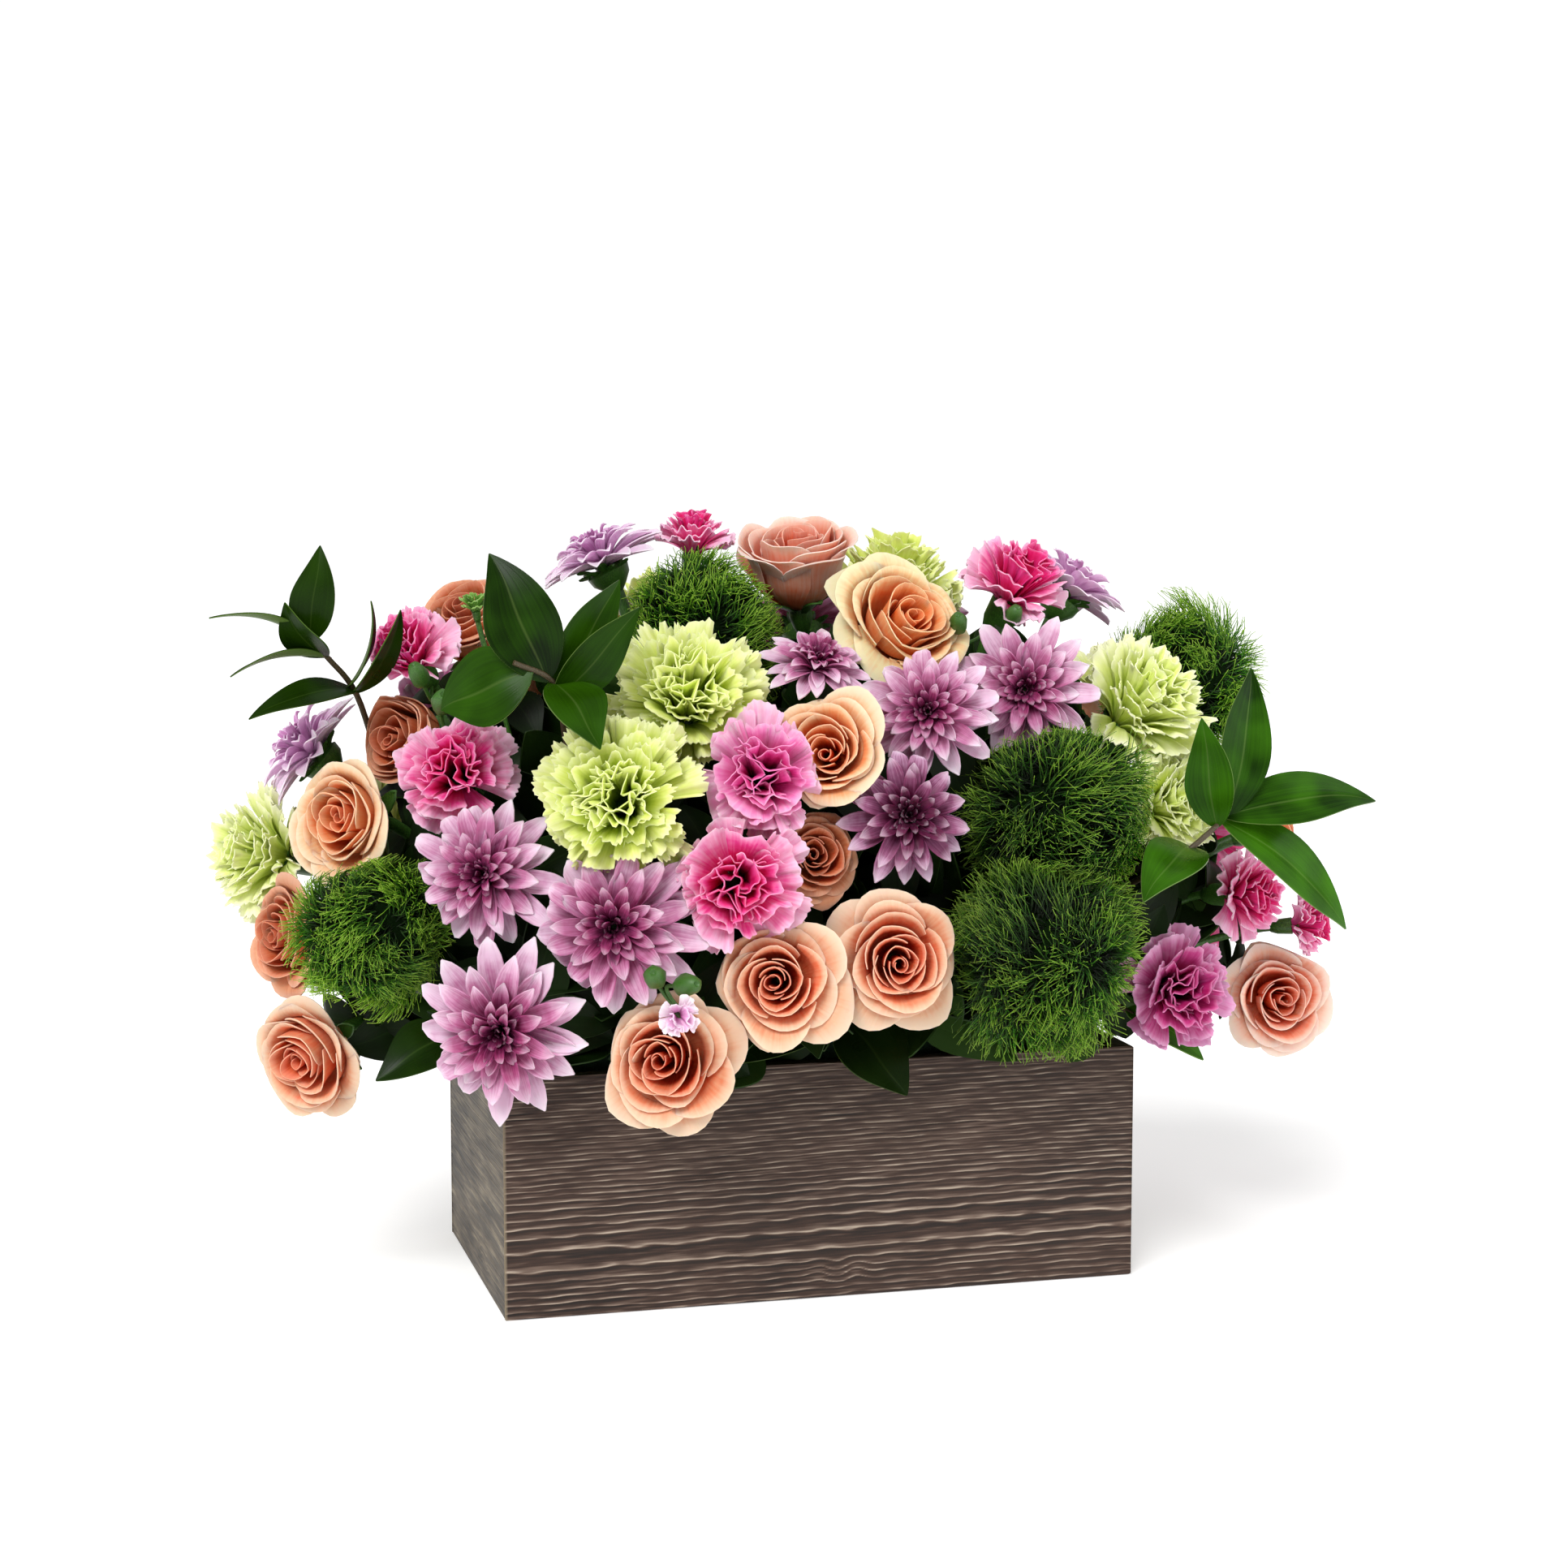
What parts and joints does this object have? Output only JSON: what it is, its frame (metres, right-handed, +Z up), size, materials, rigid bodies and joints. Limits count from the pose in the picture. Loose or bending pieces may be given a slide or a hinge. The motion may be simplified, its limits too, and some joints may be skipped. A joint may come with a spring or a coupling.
{
  "type": "floral table centerpiece",
  "caption": "Low, wide arrangement of roses, chrysanthemums, carnations, green dianthus and ruscus leaves in a rectangular woodgrain box.",
  "frame": {"origin": "centre of the box's underside, on the surface it stands on", "axes": "+X along the box's long side, to the right as seen from the front; +Y from the front to the back; +Z up"},
  "size_m": [0.4312, 0.2644, 0.2893],
  "materials": {
    "woodgrain": "dark brown weathered woodgrain with raised pale grain lines, matt",
    "liner": "dark moulded plastic",
    "wet_foam": "wet dark green floral foam",
    "rose_petal": "peach and coral petals, velvety, with green stems",
    "chrysanthemum_petal": "lavender ray petals, paler at the tips and plum at the heart, with green stems",
    "green_carnation_petal": "lime green frilled petals, matt, with green stems",
    "pink_carnation_petal": "magenta frilled petals with paler edges, matt, with green stems",
    "green_bristle": "fine curled moss green bristles",
    "ruscus_leaf": "dark green leathery leaves, glossy on the upper side"
  },
  "bodies": {
    "root": {"box_back_board": "woodgrain", "box_base_board": "woodgrain", "box_front_board": "woodgrain", "box_left_board": "woodgrain", "box_right_board": "woodgrain", "carnation_back_left": "green_carnation_petal", "carnation_back_middle": "green_carnation_petal", "carnation_back_top": "green_carnation_petal", "carnation_front": "green_carnation_petal", "carnation_left": "green_carnation_petal", "carnation_right": "green_carnation_petal", "carnation_right_low": "green_carnation_petal", "carnation_top": "green_carnation_petal", "carnation_upper": "green_carnation_petal", "foam_brick": "wet_foam", "liner": "liner", "mini_back_spray": "pink_carnation_petal", "mini_centre_spray": "pink_carnation_petal", "mini_left_spray": "pink_carnation_petal", "mini_right_spray": "pink_carnation_petal", "mini_right_top": "pink_carnation_petal", "mini_top": "pink_carnation_petal", "mum_back_high": "chrysanthemum_petal", "mum_back_left": "chrysanthemum_petal", "mum_back_spray": "chrysanthemum_petal", "mum_left_back": "chrysanthemum_petal", "mum_left_spray": "chrysanthemum_petal", "mum_right_back": "chrysanthemum_petal", "mum_right_spray": "chrysanthemum_petal", "mum_top": "chrysanthemum_petal", "mum_tucked": "chrysanthemum_petal", "rose_back_high": "rose_petal", "rose_back_high_right": "rose_petal", "rose_back_left_spray": "rose_petal", "rose_back_right_spray": "rose_petal", "rose_cream": "rose_petal", "rose_front_spray": "rose_petal", "rose_left_back": "rose_petal", "rose_left_high": "rose_petal", "rose_left_low": "rose_petal", "rose_left_tucked": "rose_petal", "rose_middle": "rose_petal", "rose_right": "rose_petal", "rose_right_high": "rose_petal", "rose_top": "rose_petal", "rose_tucked": "rose_petal", "rose_under_leaves": "rose_petal", "ruscus_back": "ruscus_leaf", "ruscus_centre": "ruscus_leaf", "ruscus_front": "ruscus_leaf", "ruscus_left": "ruscus_leaf", "ruscus_right": "ruscus_leaf", "trick_back_left": "green_bristle", "trick_back_right": "green_bristle", "trick_left": "green_bristle", "trick_right_back": "green_bristle", "trick_right_lower": "green_bristle", "trick_right_upper": "green_bristle", "trick_top": "green_bristle"}
  },
  "joints": []
}
